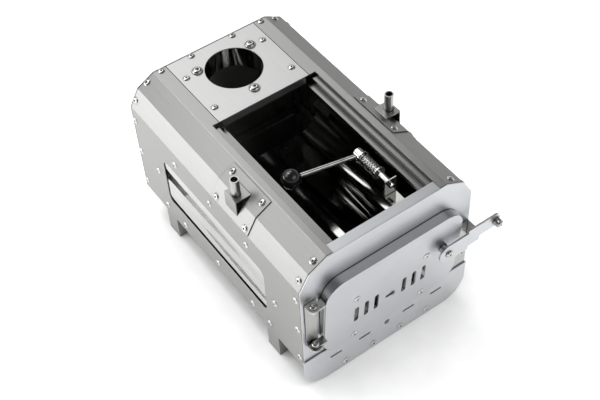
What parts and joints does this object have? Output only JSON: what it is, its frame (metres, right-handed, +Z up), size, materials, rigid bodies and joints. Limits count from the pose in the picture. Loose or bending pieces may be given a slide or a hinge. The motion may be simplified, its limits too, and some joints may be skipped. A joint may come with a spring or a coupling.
{
  "type": "camping wood stove",
  "caption": "Camping wood stove in folded stainless sheet with a faceted casing, side windows, rounded firebox, vented door, flue hole and post brackets.",
  "frame": {"origin": "on the floor, under the middle of the whole outline, with the lever and knob", "axes": "+Y along the casing from the door to the flue, +Z up, +X to the right as seen from the door"},
  "size_m": [0.287, 0.3996, 0.2555],
  "materials": {
    "satin_plate": "satin bead-brushed stainless sheet",
    "polished_liner": "mill-polished stainless sheet inside the firebox",
    "rivet_steel": "blind rivets, smooth domed heads",
    "fastener_steel": "bright stainless screws and nuts",
    "bracket_steel": "satin stainless brackets and turned posts",
    "polished_rod": "polished stainless rod, spring and hub",
    "black_knob": "glossy black ball"
  },
  "bodies": {
    "casing": {"apron_rivets": "rivet_steel", "apron_stiffener": "satin_plate", "catch_rivet": "rivet_steel", "crank_bracket": "bracket_steel", "firebox_front_plate": "polished_liner", "firebox_rear_plate": "polished_liner", "firebox_trough": "polished_liner", "floor_tray": "polished_liner", "flue_collar": "polished_liner", "flue_nuts": "fastener_steel", "flue_plate": "satin_plate", "flue_plate_rivets": "rivet_steel", "flue_screws": "fastener_steel", "foot_rivets": "rivet_steel", "front_apron": "satin_plate", "front_left_foot": "satin_plate", "front_panel": "satin_plate", "front_right_foot": "satin_plate", "front_rivets": "rivet_steel", "hinge_bolts": "fastener_steel", "hinge_bracket": "bracket_steel", "hinge_nuts": "fastener_steel", "latch_catch": "bracket_steel", "left_casing": "satin_plate", "left_flue_strap": "polished_liner", "left_post": "bracket_steel", "left_post_saddle": "satin_plate", "left_post_shelf": "satin_plate", "left_rail": "satin_plate", "rear_left_foot": "satin_plate", "rear_panel": "satin_plate", "rear_right_foot": "satin_plate", "rear_rivets": "rivet_steel", "right_casing": "satin_plate", "right_flue_strap": "polished_liner", "right_post": "bracket_steel", "right_post_saddle": "satin_plate", "right_post_shelf": "satin_plate", "right_rail": "satin_plate", "saddle_rivets": "rivet_steel", "wall_rivets": "rivet_steel"},
    "door": {"door_leaf": "satin_plate", "door_hinge_bracket": "bracket_steel", "upper_slider_guide": "satin_plate", "lower_slider_guide": "satin_plate", "door_rivets": "rivet_steel", "latch_bolt": "fastener_steel", "latch_nut": "fastener_steel", "latch_bush": "bracket_steel"},
    "latch": {"latch_lever": "satin_plate", "latch_knob": "bracket_steel", "knob_screw": "fastener_steel"},
    "slider": {"air_slider": "satin_plate", "slider_peg": "bracket_steel"},
    "crank": {"crank_shaft": "polished_rod", "crank_rod": "polished_rod", "crank_ball": "black_knob", "crank_hub": "polished_rod", "crank_washers": "polished_rod", "crank_spring": "polished_rod"}
  },
  "joints": [
    {"name": "door_hinge", "type": "hinge", "parent": "casing", "child": "door", "pos_m": [-0.13, -0.18115, 0.12], "axis": [0, 0, -1], "range_deg": [0, 120]},
    {"name": "latch_turn", "type": "hinge", "parent": "door", "child": "latch", "pos_m": [0.0605, -0.19365, 0.135], "axis": [0, -1, 0], "range_deg": [0, 65]},
    {"name": "air_slide", "type": "slide", "parent": "door", "child": "slider", "axis": [-1, 0, 0], "range_m": [0, 0.008]},
    {"name": "crank_turn", "type": "hinge", "parent": "casing", "child": "crank", "pos_m": [0.0255, -0.08665, 0.222], "axis": [0, 1, 0], "range_deg": [0, 120]}
  ]
}
